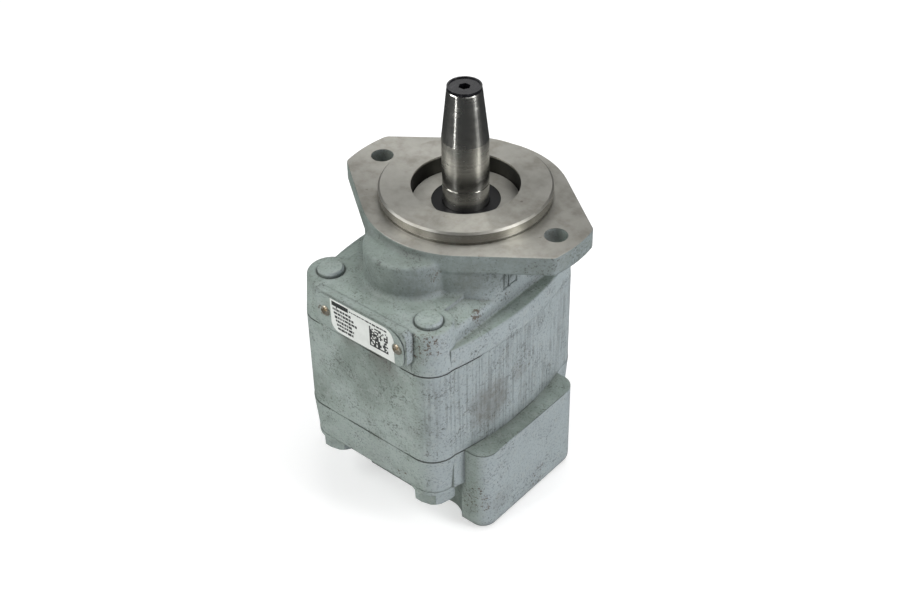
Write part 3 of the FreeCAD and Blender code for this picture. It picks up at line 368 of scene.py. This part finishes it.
    # Bare machined metal: the flange face, the pilot and everything inside it.
    radius = n.vector("LENGTH", n.vector("MULTIPLY", n.place, (1.0, 1.0, 0.0)))
    ragged_z = n.math("MULTIPLY_ADD", fine, 0.00012, z)
    face = n.math("GREATER_THAN", ragged_z, BARE_ABOVE_Z)
    on_pilot = n.math("LESS_THAN", radius, PILOT_R + PILOT_FOOT_WIDE)
    step = n.math("MULTIPLY", on_pilot, n.math("GREATER_THAN", z, PILOT_FOOT_Z))
    in_bore = n.math("LESS_THAN", radius, BORE_LIMIT_R)
    inside = n.math("MULTIPLY", in_bore, n.math("GREATER_THAN", z, BORE_FLOOR_Z))
    bare = n.math("MAXIMUM", face, n.math("MAXIMUM", step, inside))

    stain = n.noise(0.012, 4.0, 0.6)
    streak = n.noise(0.004, 3.0, 0.6)
    turned = n.rings(0.00045, 0.4)
    metal = n.mix(n.ramp(stain, 0.38, 0.72), MACHINED, MACHINED_STAIN)
    metal = n.mix(n.ramp(streak, 0.35, 0.70, 0.0, 0.35), metal, MACHINED_STREAK)
    metal = n.mix(n.ramp(turned, 0.2, 0.8, 0.0, 0.14), metal, MACHINED_RING)
    spot = n.math("MULTIPLY", n.ramp(n.cells(0.0075), 0.13, 0.06), n.ramp(stain, 0.52, 0.60))
    metal = n.mix(n.math("MULTIPLY", spot, 0.5), metal, RUST)
    # Painted shade: the bore wall below the top is made nearly black.
    within = n.math("LESS_THAN", radius, BORE_WALL_OUT_R)
    wall = n.math("MULTIPLY", within, n.math("GREATER_THAN", radius, BORE_WALL_IN_R))
    bore_shade = n.math("MULTIPLY", wall, n.ramp(z, BORE_SHADE_FROM_Z, BORE_SHADE_FULL_Z))
    metal = n.mix(n.math("MULTIPLY", bore_shade, 0.97), metal, BORE_SHADE_DARK)
    metal_normal = n.bump(n.math("ADD", turned, n.math("MULTIPLY", streak, 1.5)), 0.000012)

    all_color = n.mix(bare, color, metal)
    on_side = n.ramp(n.math("ABSOLUTE", facing_z), 0.35, 0.8)
    metal_rough = n.math("ADD", n.ramp(stain, 0.3, 0.7, 0.40, 0.50), n.math("MULTIPLY", on_side, 0.06))
    metal_rough = n.blend(on_side, 0.24, metal_rough)
    metal_rough = n.blend(bore_shade, metal_rough, 0.42)
    all_rough = n.blend(bare, roughness, metal_rough)
    all_normal = n.bend(bare, normal, metal_normal)
    n.turned_finish(0.6)
    return n.finish(all_color, all_rough, n.math("MULTIPLY", bare, 0.92), all_normal)


def ground_steel():
    n = Nodes("ground_steel_shaft")
    z = n.axes()[2]
    band = n.noise(0.0016, 4.0, 0.6, (0.02, 0.02, 1.0))
    fine = n.noise(0.00035, 2.0, 0.6, (0.02, 0.02, 1.0))
    cloud = n.noise(0.010, 4.0, 0.6)
    color = n.mix(n.ramp(band, 0.35, 0.70), STEEL_PALE, STEEL_BAND)
    color = n.mix(n.ramp(fine, 0.40, 0.75, 0.0, 0.22), color, STEEL_BRIGHT)
    worn = n.math("MULTIPLY", n.ramp(z, 0.026, 0.032), n.ramp(z, 0.046, 0.037))
    smear = n.ramp(n.noise(0.0022, 4.0, 0.7), 0.56, 0.70)
    smear = n.math("MULTIPLY", n.math("MULTIPLY", smear, worn), 0.38)
    color = n.mix(smear, color, STEEL_SMEAR)
    color = n.mix(n.ramp(cloud, 0.50, 0.75, 0.0, 0.18), color, STEEL_CLOUD)
    roughness = n.ramp(band, 0.3, 0.7, 0.17, 0.24)
    roughness = n.math("ADD", roughness, n.ramp(cloud, 0.4, 0.7, 0.0, 0.07))
    relief = n.math("ADD", band, n.math("MULTIPLY", fine, 0.5))
    n.turned_finish(0.85)
    return n.finish(color, roughness, 1.0, n.bump(relief, 0.000002))


def plain_metal(name, pale, dark, rough_low, rough_high, grain=0.002):
    n = Nodes(name)
    cloud = n.noise(grain * 4, 4.0, 0.6)
    fine = n.noise(grain, 3.0, 0.6)
    color = n.mix(n.ramp(cloud, 0.35, 0.70), pale, dark)
    color = n.mix(n.ramp(fine, 0.45, 0.80, 0.0, 0.4), color, dark)
    return n.finish(color, n.ramp(fine, 0.3, 0.7, rough_low, rough_high), 1.0, n.bump(fine, 0.00003))


def rubber():
    n = Nodes("oiled_rubber")
    n.shader.inputs["Specular IOR Level"].default_value = 0.22
    fine = n.noise(0.0012, 3.0, 0.6)
    color = n.mix(n.ramp(fine, 0.35, 0.75), (0.007, 0.007, 0.008), (0.020, 0.020, 0.021))
    return n.finish(color, n.ramp(fine, 0.3, 0.7, 0.42, 0.60), 0.0, n.bump(fine, 0.00004))


def plastic():
    n = Nodes("black_moulded_plastic")
    n.shader.inputs["Specular IOR Level"].default_value = 0.40
    fine = n.noise(0.0009, 3.0, 0.6)
    scuff = n.noise(0.0024, 4.0, 0.7, (1.0, 0.2, 1.0))
    color = n.mix(n.ramp(scuff, 0.50, 0.78), (0.006, 0.006, 0.008), (0.040, 0.040, 0.045))
    return n.finish(color, n.ramp(fine, 0.3, 0.7, 0.16, 0.30), 0.0, n.bump(fine, 0.00002))


def label_print():
    n = Nodes("printed_label")
    fine = n.noise(0.0012, 3.0, 0.6)
    cloud = n.noise(0.008, 3.0, 0.6)
    color = n.mix(n.ramp(cloud, 0.35, 0.70), (0.70, 0.725, 0.69), (0.63, 0.655, 0.62))
    color = n.mix(n.ramp(fine, 0.62, 0.80, 0.0, 0.35), color, (0.42, 0.43, 0.40))
    return n.finish(color, n.ramp(fine, 0.3, 0.7, 0.34, 0.46), 0.0, n.bump(fine, 0.000015))


def label_ink():
    n = Nodes("label_ink")
    fine = n.noise(0.0006, 3.0, 0.7)
    color = n.mix(n.ramp(fine, 0.50, 0.72), (0.028, 0.030, 0.030), (0.150, 0.155, 0.150))
    return n.finish(color, n.ramp(fine, 0.3, 0.7, 0.36, 0.50))


def worn_rivet():
    n = Nodes("worn_rivet")
    fine = n.noise(0.0009, 4.0, 0.7)
    cloud = n.noise(0.0022, 2.0, 0.6)
    color = n.mix(n.ramp(cloud, 0.42, 0.62), (0.66, 0.62, 0.52), (0.30, 0.23, 0.14))
    painted_over = n.ramp(fine, 0.60, 0.67)
    color = n.mix(painted_over, color, PAINT_PALE)
    metallic = n.ramp(fine, 0.60, 0.67, 0.85, 0.0)
    return n.finish(color, n.ramp(fine, 0.3, 0.7, 0.30, 0.50), metallic, n.bump(fine, 0.00012))


cast_cover = painted("cast_shaft_cover", machined_face=True, seamed=True, edge=0.0020)
cast_housing = painted("cast_gear_housing", striated=True, seamed=True)
cast_ports = painted("cast_port_cover", seamed=True, edge=0.0016)
steel_painted = painted("painted_fastener", pitted=0.3)
plate_painted = painted("painted_plate", pitted=0.2)
bare_steel = plain_metal("bare_steel", (0.56, 0.56, 0.55), (0.40, 0.40, 0.39), 0.28, 0.42)
bronze = plain_metal("bearing_bronze", (0.62, 0.44, 0.22), (0.42, 0.28, 0.14), 0.26, 0.40)
seal_rubber = rubber()

LOOKS = {
    "shaft_end_cover": cast_cover,
    "gear_housing": cast_housing,
    "port_end_cover": cast_ports,
    "drive_gear_shaft": ground_steel(),
    "housing_bolts": steel_painted,
    "bolt_washers": steel_painted,
    "nameplate": plate_painted,
    "nameplate_rivets": worn_rivet(),
    "shaft_end_plug": plastic(),
}
BY_SLOT = {
    "ground_steel": LOOKS["drive_gear_shaft"],
    "plain_steel": bare_steel,
    "bronze": bronze,
    "black_rubber": seal_rubber,
}
slot_of = {part["node"]: part["material_slot"] for part in record["subparts"]}
for node, obj in frame["nodes"].items():
    look = LOOKS.get(node) or BY_SLOT[slot_of[node]]
    for material_slot in obj.material_slots:
        material_slot.material = look


# ------------------------------------------------------------ the label


def mesh_piece(name, build, materials):
    mesh = bpy.data.meshes.new(name)
    made = bmesh.new()
    build(made)
    bmesh.ops.recalc_face_normals(made, faces=made.faces)
    made.to_mesh(mesh)
    made.free()
    obj = bpy.data.objects.new(name, mesh)
    bpy.context.collection.objects.link(obj)
    for material in materials:
        mesh.materials.append(material)
    return obj


def arc(centre_x, centre_z, radius, start, end, steps=10):
    """Points of an arc in the plate's plane, angles in degrees."""
    turn = (end - start) / steps
    return [
        (
            centre_x + radius * math.cos(math.radians(start + turn * i)),
            centre_z + radius * math.sin(math.radians(start + turn * i)),
        )
        for i in range(steps + 1)
    ]


def slab(made, outline, y_back, y_front):
    """Closed flat piece standing on the plate, its outline given as x and z."""
    back = [made.verts.new((x, y_back, z)) for x, z in outline]
    front = [made.verts.new((x, y_front, z)) for x, z in outline]
    made.faces.new(back)
    made.faces.new(list(reversed(front)))
    count = len(outline)
    for i in range(count):
        j = (i + 1) % count
        made.faces.new((back[i], front[i], front[j], back[j]))


PLATE_FACE = PLATE_LOW[1]
LABEL_THICK, LABEL_SUNK = 0.10 * MM, 0.05 * MM
INK_THICK, INK_SUNK = 0.02 * MM, 0.01 * MM
LABEL_LEFT, LABEL_RIGHT = -14.6 * MM, 24.2 * MM
LABEL_TOP, LABEL_LOW = PLATE_HIGH[2] - 0.25 * MM, PLATE_LOW[2] + 0.25 * MM
LABEL_CORNER = 5.2 * MM
LABEL_NOSE = 6.0 * MM
RIVET_X = RIVETS_HIGH[0] - 2.7 * MM
RIVET_Z = (RIVETS_LOW[2] + RIVETS_HIGH[2]) / 2
NOTCH_R = 3.1 * MM
notch_half = math.degrees(math.acos((RIVET_X - LABEL_RIGHT) / NOTCH_R))


def label_outline():
    notch = arc(RIVET_X, RIVET_Z, NOTCH_R, 180 + notch_half, 180 - notch_half)
    corner = arc(LABEL_LEFT + LABEL_CORNER, LABEL_LOW + LABEL_CORNER, LABEL_CORNER, 180, 270)
    nose = arc(LABEL_RIGHT - LABEL_NOSE, LABEL_TOP - LABEL_NOSE, LABEL_NOSE, 0, 90)
    return [(LABEL_LEFT, LABEL_TOP)] + corner + [(LABEL_RIGHT, LABEL_LOW)] + notch + nose


def build_label(made):
    slab(made, label_outline(), PLATE_FACE + LABEL_SUNK, PLATE_FACE - LABEL_THICK)


def bar(made, left, right, top, high):
    back = PLATE_FACE - LABEL_THICK + INK_SUNK
    front = PLATE_FACE - LABEL_THICK - INK_THICK
    slab(made, [(left, top), (left, top - high), (right, top - high), (right, top)], back, front)


def dashes(made, draw, left, end, top, high, longest):
    """One line of word-like dashes."""
    x = left
    while x < end:
        word = draw.uniform(0.5, longest) * MM
        bar(made, x, x + word, top, high * draw.uniform(0.78, 1.0))
        x += word + draw.uniform(0.22, 0.42) * MM


def build_ink(made):
    draw = random.Random(7)
    left = LABEL_LEFT + 1.0 * MM
    top = LABEL_TOP - 0.8 * MM
    bar(made, left, left + 10.2 * MM, top, 2.4 * MM)
    bar(made, left + 2.6 * MM, left + 3.3 * MM, top - 2.4 * MM, 0.9 * MM)
    dashes(made, draw, left + 10.8 * MM, left + 21.0 * MM, top - 0.9 * MM, 0.75 * MM, 2.4)
    for row in range(6):
        z = top - (3.5 + row * 2.12) * MM
        end = left + draw.uniform(11.0, 15.8) * MM
        dashes(made, draw, left + (0.5 + 0.5 * row) * MM, end, z, 1.45 * MM, 2.2)
    dashes(made, draw, 7.6 * MM, 19.4 * MM, top - 0.9 * MM, 0.95 * MM, 2.2)
    block_left, block_top, cells = 9.4 * MM, top - 2.9 * MM, 14
    cell = 0.80 * MM
    for row in range(cells):
        start = None
        for column in range(cells + 1):
            edge_cell = column == 0 or row == cells - 1
            dark = column < cells and (edge_cell or draw.random() < 0.56)
            if dark and start is None:
                start = column
            if not dark and start is not None:
                z = block_top - row * cell
                bar(made, block_left + start * cell, block_left + column * cell, z, cell * 0.98)
                start = None


# A generic mark raised on the casting: a frame with bars, on the neck's flat side.
NECK_SIDE = 40.5 * MM
MARK_Y, MARK_Z = -17.0 * MM, -20.0 * MM
MARK_WIDE, MARK_HIGH = 9.0 * MM, 8.0 * MM
MARK_LINE, MARK_RAISED = 0.9 * MM, 0.7 * MM


def build_mark(made):
    half_y, half_z = MARK_WIDE / 2, MARK_HIGH / 2
    upright = ((-half_y, 0.0), (half_y, 0.0), (-1.2 * MM, 0.0))
    level = ((0.0, half_z), (0.0, -half_z), (1.7 * MM, 0.6 * MM))
    strokes = [(y, z, MARK_LINE, MARK_HIGH + MARK_LINE) for y, z in upright]
    strokes += [(y, z, MARK_WIDE if y == 0.0 else MARK_WIDE * 0.45, MARK_LINE) for y, z in level]
    for y, z, wide, high in strokes:
        size = Matrix.Diagonal((MARK_RAISED, wide, high, 1.0))
        where = Matrix.Translation((NECK_SIDE, MARK_Y + y, MARK_Z + z))
        bmesh.ops.create_cube(made, size=1.0, matrix=where @ size)


mark = mesh_piece("cast_mark", build_mark, [cast_cover])
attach(mark, PUMP)

label = mesh_piece("nameplate_label", build_label, [label_print()])
ink = mesh_piece("nameplate_print", build_ink, [label_ink()])
for piece in (label, ink):
    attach(piece, PUMP)


# ------------------------------------------------------------ stage


FLOOR_HALF = 4.0
FADE_FROM, FADE_TO = 0.5, 1.6
WHITE, BLACK = (1.0, 1.0, 1.0, 1.0), (0.0, 0.0, 0.0, 1.0)

# The paper is lit near the pump and turns to plain white further off.
paper = Nodes("floor_paper")
far_off = paper.vector("LENGTH", paper.place)
shade = paper.mix(paper.ramp(far_off, FADE_FROM, FADE_TO), (0.60,) * 3, BLACK[:3])
paper.put(paper.shader.inputs["Base Color"], shade)
paper.put(paper.shader.inputs["Emission Color"], WHITE)
strength = paper.ramp(far_off, FADE_FROM, FADE_TO, 0.52, 1.0)
paper.put(paper.shader.inputs["Emission Strength"], strength)
floor = mesh_piece(
    "floor",
    lambda made: bmesh.ops.create_grid(made, x_segments=1, y_segments=1, size=FLOOR_HALF),
    [paper.material],
)
floor.location.z = FLOOR_Z
floor.visible_glossy = False

# A plain white dome stands behind everything. It gives no light and no reflection.
glow = Nodes("backdrop_white")
glow.put(glow.shader.inputs["Base Color"], BLACK)
glow.put(glow.shader.inputs["Emission Color"], WHITE)
glow.put(glow.shader.inputs["Emission Strength"], 1.0)
dome = mesh_piece(
    "backdrop",
    lambda made: bmesh.ops.create_icosphere(made, subdivisions=4, radius=FLOOR_HALF * 1.2),
    [glow.material],
)
dome.visible_diffuse = False
dome.visible_glossy = False
dome.visible_shadow = False

world = bpy.data.worlds.new("studio")
bpy.context.scene.world = world
world.use_nodes = True
sky = world.node_tree.nodes["Background"]
sky.inputs["Color"].default_value = (0.95, 0.98, 1.0, 1.0)
sky.inputs["Strength"].default_value = 0.055

# Soft boxes: place, width and height in metres, power in watts.
AIM = Vector((0.0, 0.0, -0.04))
SOFT_BOXES = (
    ("overhead", (0.15, 0.35, 1.40), 1.20, 0.90, 11.5),
    ("right", (1.25, 0.30, 0.55), 0.36, 1.20, 13.5),
    ("front", (-0.95, -0.85, 1.15), 0.80, 0.80, 15.5),
    ("left", (-0.22, -1.30, 0.35), 0.12, 1.40, 6.0),
    ("back", (-0.78, 0.89, 0.92), 0.80, 0.80, 2.1),
)
for name, place, wide, high, power in SOFT_BOXES:
    light = bpy.data.lights.new(name, "AREA")
    light.shape = "RECTANGLE"
    light.size = wide
    light.size_y = high
    light.energy = power
    lamp = bpy.data.objects.new(name, light)
    bpy.context.collection.objects.link(lamp)
    lamp.location = place
    lamp.rotation_mode = "QUATERNION"
    lamp.rotation_quaternion = (AIM - Vector(place)).to_track_quat("-Z", "Y")
    lamp.visible_camera = False

# Camera: it looks at the flange from DISTANCE metres, at this azimuth and elevation. PAN
# moves the flange right and up in the picture, in metres.
AZIMUTH = math.radians(41.164)
ELEVATION = math.radians(38.064)
ROLL = math.radians(1.297)
DISTANCE = 0.7191
PAN = (0.007386, 0.05497)
LENS = 61.493
LOOKED_AT = Vector((0.0, 0.0, 0.00635))

right = Vector((math.cos(AZIMUTH), math.sin(AZIMUTH), 0.0))
back = Vector((
    math.sin(AZIMUTH) * math.cos(ELEVATION),
    -math.cos(AZIMUTH) * math.cos(ELEVATION),
    math.sin(ELEVATION),
))
turn = Matrix.Rotation(ROLL, 3, "Z") @ Matrix((right, back.cross(right), back))
camera_data = bpy.data.cameras.new("camera")
camera_data.sensor_width = 36.0
camera_data.lens = LENS
camera_data.clip_start = 0.01
camera = bpy.data.objects.new("camera", camera_data)
bpy.context.collection.objects.link(camera)
spot = turn.transposed() @ Vector((-PAN[0], -PAN[1], DISTANCE)) + LOOKED_AT
camera.matrix_world = Matrix.Translation(spot) @ turn.transposed().to_4x4()
bpy.context.scene.camera = camera
bpy.context.scene.view_settings.view_transform = "Standard"
